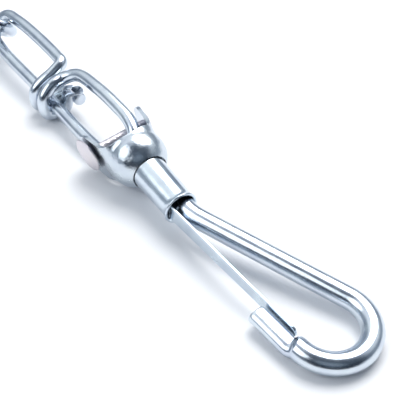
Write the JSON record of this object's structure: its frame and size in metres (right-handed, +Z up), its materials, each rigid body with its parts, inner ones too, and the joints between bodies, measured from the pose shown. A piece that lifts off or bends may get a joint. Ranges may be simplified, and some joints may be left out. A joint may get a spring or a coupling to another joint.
{
  "type": "swing chain with swivel spring snaps",
  "caption": "Zinc-plated double-loop swing chain with a riveted swivel cup and spring snap hook at each end, laid in a curve on the ground.",
  "frame": {"origin": "middle of the footprint, on the ground", "axes": "+X along the first snap towards its hook tip, +Z up, +Y completes the right-handed frame"},
  "size_m": [0.3069, 0.3628, 0.0205],
  "materials": {
    "zinc_wire": "bright zinc plate",
    "zinc_cup": "bright zinc plate",
    "spring_steel": "bright zinc plate",
    "rivet_steel": "pressed, satin zinc plate"
  },
  "bodies": {
    "link_1": {"link_1": "zinc_wire"},
    "link_2": {"link_2": "zinc_wire"},
    "link_3": {"link_3": "zinc_wire"},
    "link_4": {"link_4": "zinc_wire"},
    "link_5": {"link_5": "zinc_wire"},
    "link_6": {"link_6": "zinc_wire"},
    "snap_cup_a": {"swivel_cup_a": "zinc_cup", "rivet_a": "rivet_steel"},
    "snap_hook_a": {"sleeve_a": "zinc_wire", "retaining_washer_a": "zinc_wire", "hook_a": "zinc_wire", "latch_root_a": "spring_steel"},
    "snap_latch_a": {"latch_leaf_a": "spring_steel"},
    "snap_cup_b": {"swivel_cup_b": "zinc_cup", "rivet_b": "rivet_steel"},
    "snap_hook_b": {"sleeve_b": "zinc_wire", "retaining_washer_b": "zinc_wire", "hook_b": "zinc_wire", "latch_root_b": "spring_steel"},
    "snap_latch_b": {"latch_leaf_b": "spring_steel"}
  },
  "joints": [
    {"name": "chain_pivot_2", "type": "hinge", "parent": "link_3", "child": "link_2", "pos_m": [-0.10907, 0.10757, 0.01145], "axis": [0, 0, 1], "range_deg": [-1.5, 60]},
    {"name": "chain_pivot_1", "type": "hinge", "parent": "link_2", "child": "link_1", "pos_m": [-0.03609, 0.15211, 0.01322], "axis": [0, 0, 1], "range_deg": [-2, 60]},
    {"name": "chain_pivot_3", "type": "hinge", "parent": "link_3", "child": "link_4", "pos_m": [-0.14735, 0.03112, 0.01145], "axis": [0, 0, 1], "range_deg": [-60, 3]},
    {"name": "chain_pivot_4", "type": "hinge", "parent": "link_4", "child": "link_5", "pos_m": [-0.1393, -0.054, 0.01145], "axis": [0, 0, 1], "range_deg": [-60, 3]},
    {"name": "chain_pivot_5", "type": "hinge", "parent": "link_5", "child": "link_6", "pos_m": [-0.0862, -0.12101, 0.01322], "axis": [0, 0, 1], "range_deg": [-60, 4]},
    {"name": "rivet_hinge_a", "type": "hinge", "parent": "link_1", "child": "snap_cup_a", "pos_m": [0.04583, 0.15698, 0.0103], "axis": [0, 0.9863, 0.165], "range_deg": [-60, 60]},
    {"name": "swivel_a", "type": "hinge", "parent": "snap_cup_a", "child": "snap_hook_a", "pos_m": [0.05783, 0.15698, 0.0103], "axis": [0.997, 0, -0.0773], "continuous": true},
    {"name": "latch_flex_a", "type": "hinge", "parent": "snap_hook_a", "child": "snap_latch_a", "pos_m": [0.08265, 0.15363, 0.00838], "axis": [0.0773, 0, 0.997], "range_deg": [0, 9], "stiffness_Nm_per_rad": 1.5, "springref_deg": -1.15},
    {"name": "rivet_hinge_b", "type": "hinge", "parent": "link_6", "child": "snap_cup_b", "pos_m": [-0.00842, -0.14718, 0.0103], "axis": [0.3146, 0.9348, 0.165], "range_deg": [-60, 60]},
    {"name": "swivel_b", "type": "hinge", "parent": "snap_cup_b", "child": "snap_hook_b", "pos_m": [0.00295, -0.15101, 0.0103], "axis": [0.9449, -0.318, -0.0773], "continuous": true},
    {"name": "latch_flex_b", "type": "hinge", "parent": "snap_hook_b", "child": "snap_latch_b", "pos_m": [0.02541, -0.1621, 0.00838], "axis": [0.0732, -0.0246, 0.997], "range_deg": [0, 9], "stiffness_Nm_per_rad": 1.5, "springref_deg": -1.15}
  ]
}
